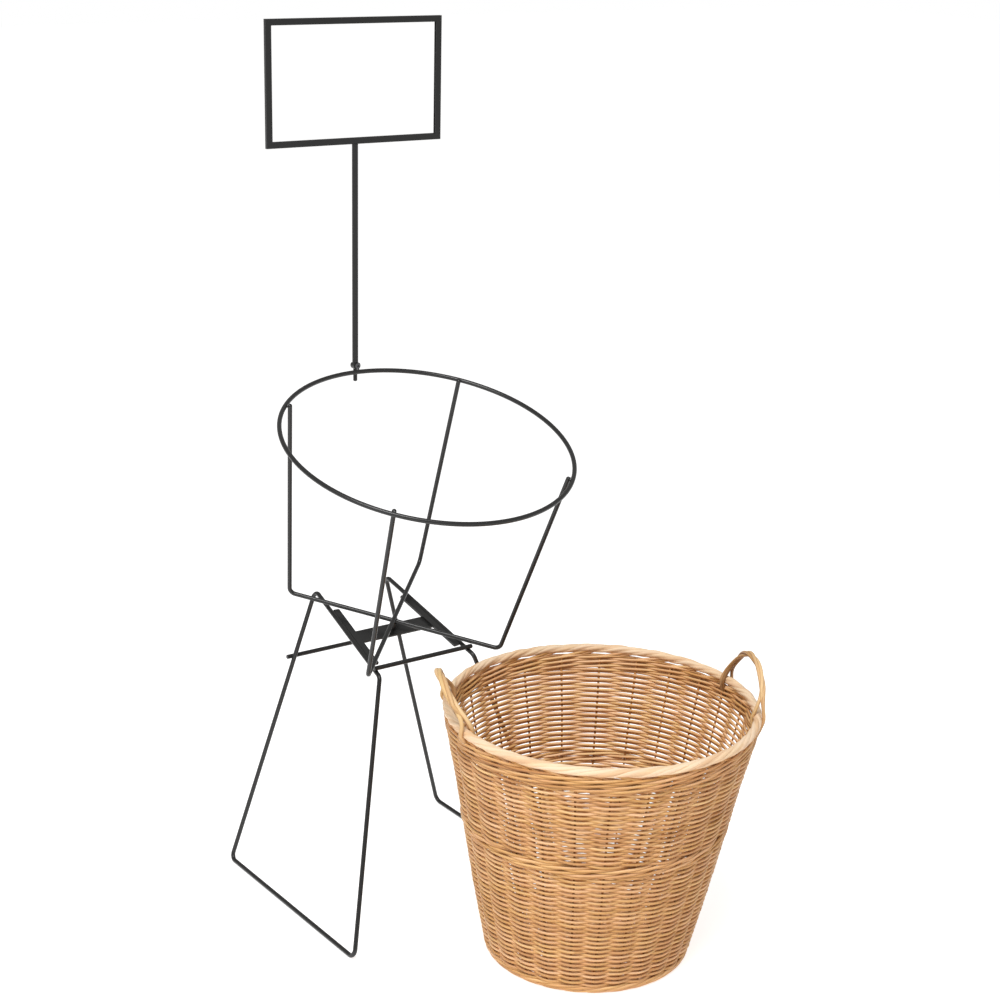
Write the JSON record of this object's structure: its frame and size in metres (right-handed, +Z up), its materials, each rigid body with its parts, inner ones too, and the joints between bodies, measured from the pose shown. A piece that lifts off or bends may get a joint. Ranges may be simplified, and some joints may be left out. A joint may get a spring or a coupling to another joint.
{
  "type": "basket display stand",
  "caption": "Tilting wire display stand with ring cradle, card frame on a post and a round willow basket.",
  "frame": {"origin": "on the floor, in the middle of the whole outline", "axes": "+Z up, -Y to the front where the basket stands, +X to the viewer's right"},
  "size_m": [0.5092, 0.6612, 1.154],
  "materials": {
    "powder_coat": "satin black powder coat on steel wire",
    "black_zinc": "black plated screws and washer",
    "willow": "woven buff willow, matt",
    "peeled_willow": "peeled white willow border, matt",
    "cane": "twisted pale cane, matt"
  },
  "bodies": {
    "base": {"leg_frame_left": "powder_coat", "leg_frame_right": "powder_coat", "cross_rod_back": "powder_coat", "cross_rod_front": "powder_coat", "bracket_strip_left": "powder_coat", "bracket_strip_right": "powder_coat", "centre_plate": "powder_coat", "centre_washer": "black_zinc"},
    "cradle": {"cradle_boss": "powder_coat", "cradle_wire_lower": "powder_coat", "cradle_wire_upper": "powder_coat", "ring": "powder_coat", "post_socket": "powder_coat", "centre_screw": "black_zinc"},
    "sign": {"sign_post": "powder_coat", "card_rail_bottom": "powder_coat", "card_rail_top": "powder_coat", "card_rail_left": "powder_coat", "card_rail_right": "powder_coat"},
    "clamp_screw": {"clamp_screw": "black_zinc"},
    "basket": {"basket_base": "willow", "basket_foot_wale": "willow", "basket_side_lower": "willow", "basket_middle_wale": "willow", "basket_side_upper": "willow", "basket_top_wale": "willow", "basket_border": "peeled_willow", "basket_handle_left": "cane", "basket_handle_right": "cane"}
  },
  "joints": [
    {"name": "cradle_turn", "type": "hinge", "parent": "base", "child": "cradle", "pos_m": [-0.06157, 0.18155, 0.36001], "axis": [0, -0.284, 0.9588], "range_deg": [-3, 30]},
    {"name": "sign_turn", "type": "hinge", "parent": "cradle", "child": "sign", "pos_m": [-0.05557, 0.28732, 0.70016], "axis": [0, 0, 1], "continuous": true},
    {"name": "clamp_screw_turn", "type": "hinge", "parent": "cradle", "child": "clamp_screw", "pos_m": [-0.05557, 0.28232, 0.70016], "axis": [0, -1, 0], "range_deg": [0, 360]},
    {"name": "basket_pull", "type": "slide", "parent": "base", "child": "basket", "axis": [0, -1, 0], "range_m": [0, 0.4]}
  ]
}
